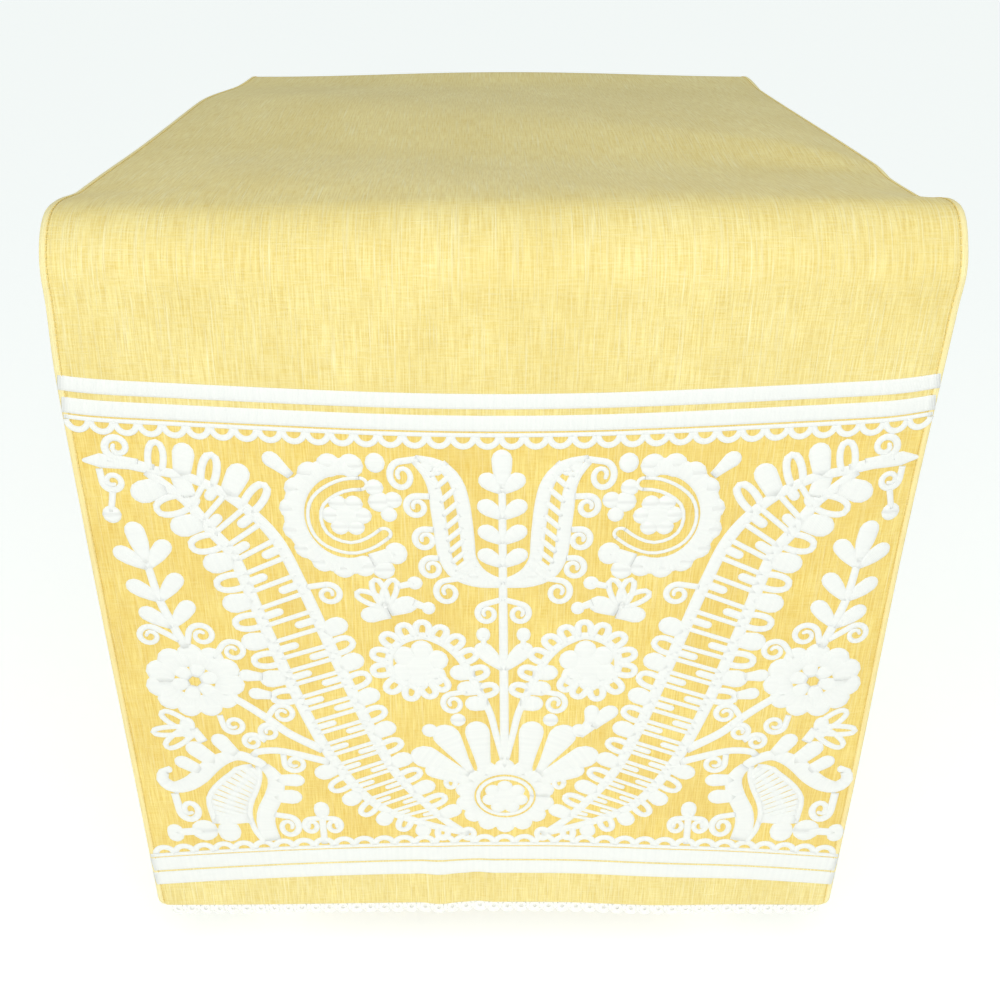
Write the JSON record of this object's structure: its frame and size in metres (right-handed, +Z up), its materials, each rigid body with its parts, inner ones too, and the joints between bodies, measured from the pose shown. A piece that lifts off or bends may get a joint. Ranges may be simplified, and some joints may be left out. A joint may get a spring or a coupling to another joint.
{
  "type": "embroidered table runner on a plain table",
  "caption": "Draped cotton table runner with a raised embroidered folk panel and lace edging, falling over both ends of a plain low table.",
  "frame": {"origin": "on the floor under the middle of the table", "axes": "+Z up, -Y towards the embroidered end that hangs in front, +X to the right as seen from that end"},
  "size_m": [0.4, 0.478, 0.4589],
  "materials": {
    "mustard_cotton": "slub plain weave, matte",
    "white_thread": "white stitched thread, soft sheen",
    "painted_wood": "white satin paint"
  },
  "bodies": {
    "root": {"runner_cloth": "mustard_cotton", "lace_front": "white_thread", "lace_rear": "white_thread", "table_top": "painted_wood", "table_apron_front": "painted_wood", "table_apron_rear": "painted_wood", "table_apron_left": "painted_wood", "table_apron_right": "painted_wood", "table_leg_front_left": "painted_wood", "table_leg_front_right": "painted_wood", "table_leg_rear_left": "painted_wood", "table_leg_rear_right": "painted_wood"}
  },
  "joints": []
}
